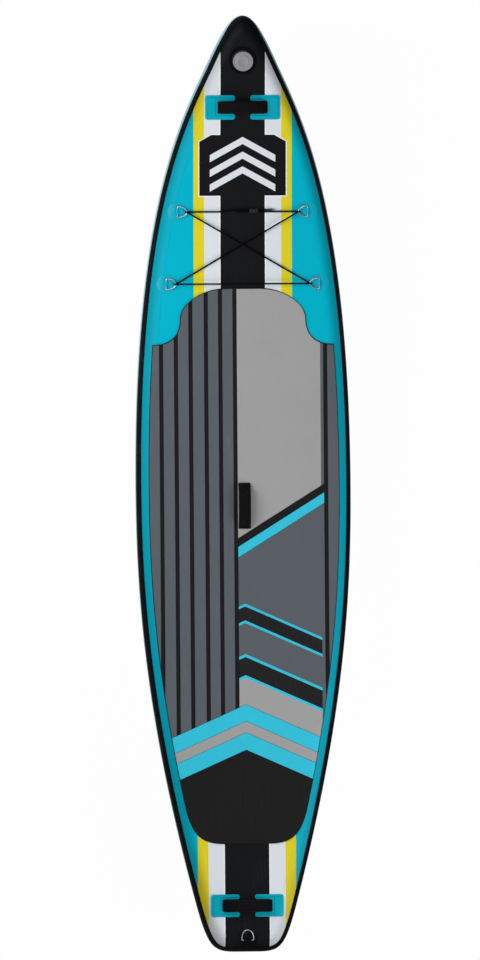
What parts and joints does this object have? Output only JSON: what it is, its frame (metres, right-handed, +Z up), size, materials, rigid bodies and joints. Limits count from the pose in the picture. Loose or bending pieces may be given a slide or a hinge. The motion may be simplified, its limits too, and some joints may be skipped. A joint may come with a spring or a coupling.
{
  "type": "stand-up paddle board",
  "caption": "Inflatable touring stand-up paddle board with a pointed nose, foam deck pad, carry handles, bungee lacing, valve, leash ring and a slide-in centre fin.",
  "frame": {"origin": "on the ground below the middle of the board, level with the fin's tip", "axes": "+Y towards the nose, +X to starboard, +Z up from the deck"},
  "size_m": [0.738, 3.2, 0.5271],
  "materials": {
    "drop_stitch": "undyed woven polyester with thread bundles",
    "pvc_turquoise": "satin coated turquoise PVC sheet with printed stripes",
    "pvc_white": "satin white PVC sheet",
    "pvc_black": "satin black PVC sheet",
    "nylon_black": "moulded black nylon",
    "nylon_grey": "moulded dark grey nylon",
    "nylon_white": "moulded white nylon",
    "nylon_silver": "moulded silver grey nylon",
    "stainless_steel": "polished stainless steel",
    "rubber_black": "moulded rubber",
    "webbing_black": "woven polyester webbing",
    "neoprene_black": "knit-faced neoprene",
    "bungee_black": "braided cover over a rubber core",
    "foam_black": "closed-cell foam, black",
    "foam_slate": "closed-cell foam, slate, fine texture",
    "foam_grey": "closed-cell foam, light grey, fine texture",
    "foam_blue": "closed-cell foam, light blue",
    "fin_black": "moulded black nylon fin",
    "brass": "plain brass"
  },
  "bodies": {
    "board": {"drop_stitch_core": "drop_stitch", "deck_skin_fore": "pvc_turquoise", "deck_skin_aft": "pvc_turquoise", "rail_port": "pvc_turquoise", "rail_starboard": "pvc_turquoise", "front_handle_patch_port": "pvc_turquoise", "front_handle_patch_starboard": "pvc_turquoise", "tail_handle_patch_port": "pvc_turquoise", "tail_handle_patch_starboard": "pvc_turquoise", "front_ring_port_patch": "pvc_turquoise", "front_ring_starboard_patch": "pvc_turquoise", "rear_ring_port_patch": "pvc_turquoise", "rear_ring_starboard_patch": "pvc_turquoise", "bottom_skin": "pvc_white", "rail_stripe": "pvc_black", "valve_patch": "pvc_black", "leash_ring_patch": "pvc_black", "valve_body": "nylon_black", "valve_nut": "nylon_black", "fin_box": "nylon_black", "valve_spring": "stainless_steel", "centre_handle_end_front": "webbing_black", "centre_handle_end_rear": "webbing_black", "bungee_cord": "bungee_black", "pad_base": "foam_black", "pad_tail": "foam_black", "pad_plank_1": "foam_slate", "pad_plank_2": "foam_slate", "pad_plank_3": "foam_slate", "pad_plank_4": "foam_slate", "pad_plank_5": "foam_slate", "pad_plank_6": "foam_slate", "pad_plank_edge": "foam_slate", "pad_field_rear": "foam_slate", "pad_field_front": "foam_grey", "pad_chevron_grey": "foam_grey", "pad_band": "foam_blue", "pad_chevron_front": "foam_blue", "pad_chevron_rear": "foam_blue"},
    "front_handle": {"front_handle_webbing": "webbing_black", "front_handle_sleeve": "neoprene_black"},
    "tail_handle": {"tail_handle_webbing": "webbing_black", "tail_handle_sleeve": "neoprene_black"},
    "centre_handle": {"centre_handle_webbing": "webbing_black", "centre_handle_sleeve": "neoprene_black"},
    "front_ring_port": {"front_ring_port": "stainless_steel"},
    "front_ring_starboard": {"front_ring_starboard": "stainless_steel"},
    "rear_ring_port": {"rear_ring_port": "stainless_steel"},
    "rear_ring_starboard": {"rear_ring_starboard": "stainless_steel"},
    "leash_ring": {"leash_ring": "stainless_steel"},
    "valve_cap_seal": {"valve_cap_seal": "rubber_black"},
    "valve_cap": {"valve_cap": "nylon_silver"},
    "valve_plunger": {"valve_plunger": "nylon_white"},
    "cord_lock": {"cord_lock_body": "nylon_grey", "cord_lock_spring": "stainless_steel"},
    "cord_lock_button": {"cord_lock_button": "nylon_black"},
    "fin": {"fin": "fin_black", "fin_pin": "brass", "fin_nut_plate": "brass"},
    "fin_screw": {"fin_screw": "stainless_steel"}
  },
  "joints": [
    {"name": "front_handle_swing", "type": "hinge", "parent": "board", "child": "front_handle", "pos_m": [0, 1.286, 0.47981], "axis": [1, 0, 0], "range_deg": [-25, 25], "stiffness_Nm_per_rad": 0.05},
    {"name": "tail_handle_swing", "type": "hinge", "parent": "board", "child": "tail_handle", "pos_m": [0, -1.44, 0.3924], "axis": [1, 0, 0], "range_deg": [-25, 25], "stiffness_Nm_per_rad": 0.05},
    {"name": "centre_handle_swing", "type": "hinge", "parent": "board", "child": "centre_handle", "pos_m": [0, -0.073, 0.3982], "axis": [0, 1, 0], "range_deg": [-25, 25], "stiffness_Nm_per_rad": 0.05},
    {"name": "front_ring_port_swing", "type": "hinge", "parent": "board", "child": "front_ring_port", "pos_m": [-0.22305, 0.932, 0.41385], "axis": [0, -0.9937, -0.1121], "range_deg": [0, 20], "stiffness_Nm_per_rad": 0.03, "deforming": ["bungee_cord"]},
    {"name": "front_ring_starboard_swing", "type": "hinge", "parent": "board", "child": "front_ring_starboard", "pos_m": [0.22305, 0.932, 0.41385], "axis": [0, 0.9937, 0.1121], "range_deg": [0, 20], "stiffness_Nm_per_rad": 0.03, "deforming": ["bungee_cord"]},
    {"name": "rear_ring_port_swing", "type": "hinge", "parent": "board", "child": "rear_ring_port", "pos_m": [-0.26205, 0.686, 0.39275], "axis": [0, -0.9982, -0.0602], "range_deg": [0, 20], "stiffness_Nm_per_rad": 0.03, "deforming": ["bungee_cord"]},
    {"name": "rear_ring_starboard_swing", "type": "hinge", "parent": "board", "child": "rear_ring_starboard", "pos_m": [0.26205, 0.686, 0.39275], "axis": [0, 0.9982, 0.0602], "range_deg": [0, 20], "stiffness_Nm_per_rad": 0.03, "deforming": ["bungee_cord"]},
    {"name": "leash_ring_swing", "type": "hinge", "parent": "board", "child": "leash_ring", "pos_m": [0, -1.558, 0.37867], "axis": [1, 0, 0], "range_deg": [0, 150]},
    {"name": "valve_cap_lift", "type": "slide", "parent": "board", "child": "valve_cap_seal", "axis": [0, -0.2401, 0.9708], "range_m": [0, 0.03]},
    {"name": "valve_cap_turn", "type": "hinge", "parent": "valve_cap_seal", "child": "valve_cap", "pos_m": [0, 1.445, 0.50053], "axis": [0, -0.2401, 0.9708], "range_deg": [0, 90]},
    {"name": "valve_plunger_press", "type": "slide", "parent": "board", "child": "valve_plunger", "axis": [0, -0.2401, 0.9708], "range_m": [-0.004, 0], "stiffness_N_per_m": 300, "springref_m": 0.001, "deforming": ["valve_spring"]},
    {"name": "cord_lock_slide", "type": "slide", "parent": "board", "child": "cord_lock", "axis": [1, 0, 0], "range_m": [-0.03, 0.03]},
    {"name": "cord_lock_press", "type": "slide", "parent": "cord_lock", "child": "cord_lock_button", "axis": [0, 0.1128, -0.9936], "range_m": [0, 0.002], "stiffness_N_per_m": 400, "springref_m": -0.001, "deforming": ["cord_lock_spring"]},
    {"name": "fin_slide", "type": "slide", "parent": "board", "child": "fin", "axis": [0, 1, 0], "range_m": [-0.04, 0.03]},
    {"name": "fin_screw_turn", "type": "hinge", "parent": "fin", "child": "fin_screw", "pos_m": [0, -1.201, 0.2], "axis": [0, 0, -1], "range_deg": [0, 720]}
  ]
}
